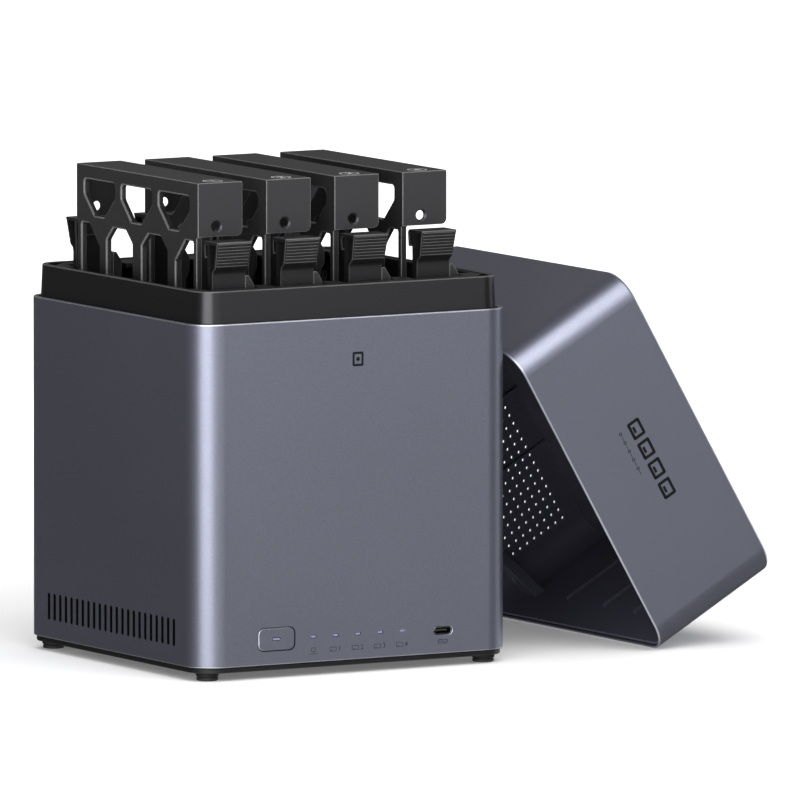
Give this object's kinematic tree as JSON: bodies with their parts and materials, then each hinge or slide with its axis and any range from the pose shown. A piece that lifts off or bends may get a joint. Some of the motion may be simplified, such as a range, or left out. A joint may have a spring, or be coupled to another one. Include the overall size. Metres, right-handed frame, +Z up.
{
  "type": "nas enclosure",
  "caption": "Desktop network storage enclosure: square metal body, upright lift-out drive trays with sprung latches, front button and lights, rear ports, and a loose lid leaning on its side.",
  "frame": {"origin": "on the floor, in the middle of the area that the body and the leaning lid cover together", "axes": "+Z up, front panel faces -Y, the lid leans on the +X side"},
  "size_m": [0.2876, 0.155, 0.2114],
  "materials": {
    "shell": "fine bead-blasted, anodised blue-grey",
    "frame": "satin moulded",
    "base": "matte moulded",
    "foot": "matte",
    "cage": "matte moulded",
    "tray": "satin moulded",
    "latch": "satin moulded",
    "liner": "satin moulded",
    "board": "solder mask",
    "connector": "moulded",
    "sink": "extruded, plain",
    "fan": "moulded",
    "steel": "plated",
    "light": "clear light guide"
  },
  "bodies": {
    "chassis": {"outer_shell": "shell", "top_frame": "frame", "base_plate": "base", "rear_port_plate": "base", "drive_cage": "cage", "backplane_board": "board", "main_board": "board", "heat_sink": "sink", "fan_frame": "fan", "status_light_guide": "light", "front_data_port": "steel", "network_port": "steel", "video_port": "steel", "rear_data_port_1": "steel", "rear_data_port_2": "steel", "button_switch": "connector", "power_inlet": "connector", "foot_front_left": "foot", "base_screw_front_left": "steel", "frame_catch_front_left": "steel", "foot_front_right": "foot", "base_screw_front_right": "steel", "frame_catch_front_right": "steel", "foot_rear_right": "foot", "base_screw_rear_right": "steel", "frame_catch_rear_right": "steel", "foot_rear_left": "foot", "base_screw_rear_left": "steel", "frame_catch_rear_left": "steel", "drive_connector_1": "connector", "drive_connector_2": "connector", "drive_connector_3": "connector", "drive_connector_4": "connector"},
    "button": {"power_button": "shell", "button_light": "light"},
    "fan": {"fan_rotor": "fan"},
    "lid": {"lid_shell": "shell", "lid_liner": "liner", "lid_magnet_front_left": "steel", "lid_magnet_front_right": "steel", "lid_magnet_rear_right": "steel", "lid_magnet_rear_left": "steel"},
    "tray_1_body": {"tray_1": "tray"},
    "latch_front_1_body": {"latch_front_1": "latch"},
    "latch_rear_1_body": {"latch_rear_1": "latch"},
    "tray_2_body": {"tray_2": "tray"},
    "latch_front_2_body": {"latch_front_2": "latch"},
    "latch_rear_2_body": {"latch_rear_2": "latch"},
    "tray_3_body": {"tray_3": "tray"},
    "latch_front_3_body": {"latch_front_3": "latch"},
    "latch_rear_3_body": {"latch_rear_3": "latch"},
    "tray_4_body": {"tray_4": "tray"},
    "latch_front_4_body": {"latch_front_4": "latch"},
    "latch_rear_4_body": {"latch_rear_4": "latch"}
  },
  "joints": [
    {"name": "tray_1_lift", "type": "slide", "parent": "chassis", "child": "tray_1_body", "axis": [0, 0, 1], "range_m": [0, 0.12]},
    {"name": "latch_front_1_press", "type": "hinge", "parent": "tray_1_body", "child": "latch_front_1_body", "pos_m": [-0.11998, -0.0601, 0.14], "axis": [-1, 0, 0], "range_deg": [0, 2.5], "stiffness_Nm_per_rad": 0.6, "springref_deg": -1.72},
    {"name": "latch_rear_1_press", "type": "hinge", "parent": "tray_1_body", "child": "latch_rear_1_body", "pos_m": [-0.11998, 0.0601, 0.14], "axis": [1, 0, 0], "range_deg": [0, 2.5], "stiffness_Nm_per_rad": 0.6, "springref_deg": -1.72},
    {"name": "tray_2_lift", "type": "slide", "parent": "chassis", "child": "tray_2_body", "axis": [0, 0, 1], "range_m": [0, 0.12]},
    {"name": "latch_front_2_press", "type": "hinge", "parent": "tray_2_body", "child": "latch_front_2_body", "pos_m": [-0.08643, -0.0601, 0.14], "axis": [-1, 0, 0], "range_deg": [0, 2.5], "stiffness_Nm_per_rad": 0.6, "springref_deg": -1.72},
    {"name": "latch_rear_2_press", "type": "hinge", "parent": "tray_2_body", "child": "latch_rear_2_body", "pos_m": [-0.08643, 0.0601, 0.14], "axis": [1, 0, 0], "range_deg": [0, 2.5], "stiffness_Nm_per_rad": 0.6, "springref_deg": -1.72},
    {"name": "tray_3_lift", "type": "slide", "parent": "chassis", "child": "tray_3_body", "axis": [0, 0, 1], "range_m": [0, 0.12]},
    {"name": "latch_front_3_press", "type": "hinge", "parent": "tray_3_body", "child": "latch_front_3_body", "pos_m": [-0.05288, -0.0601, 0.14], "axis": [-1, 0, 0], "range_deg": [0, 2.5], "stiffness_Nm_per_rad": 0.6, "springref_deg": -1.72},
    {"name": "latch_rear_3_press", "type": "hinge", "parent": "tray_3_body", "child": "latch_rear_3_body", "pos_m": [-0.05288, 0.0601, 0.14], "axis": [1, 0, 0], "range_deg": [0, 2.5], "stiffness_Nm_per_rad": 0.6, "springref_deg": -1.72},
    {"name": "tray_4_lift", "type": "slide", "parent": "chassis", "child": "tray_4_body", "axis": [0, 0, 1], "range_m": [0, 0.12]},
    {"name": "latch_front_4_press", "type": "hinge", "parent": "tray_4_body", "child": "latch_front_4_body", "pos_m": [-0.01933, -0.0601, 0.14], "axis": [-1, 0, 0], "range_deg": [0, 2.5], "stiffness_Nm_per_rad": 0.6, "springref_deg": -1.72},
    {"name": "latch_rear_4_press", "type": "hinge", "parent": "tray_4_body", "child": "latch_rear_4_body", "pos_m": [-0.01933, 0.0601, 0.14], "axis": [1, 0, 0], "range_deg": [0, 2.5], "stiffness_Nm_per_rad": 0.6, "springref_deg": -1.72},
    {"name": "power_button_press", "type": "slide", "parent": "chassis", "child": "button", "axis": [0, 1, 0], "range_m": [0, 0.0008], "stiffness_N_per_m": 300, "springref_m": -0.0005},
    {"name": "fan_spin", "type": "hinge", "parent": "chassis", "child": "fan", "pos_m": [-0.06628, 0, 0.042], "axis": [0, 0, 1], "continuous": true},
    {"name": "lid_tip", "type": "hinge", "parent": "chassis", "child": "lid", "pos_m": [0.08876, 0.0005, 0], "axis": [0, 1, 0], "range_deg": [0, 30.1]}
  ]
}
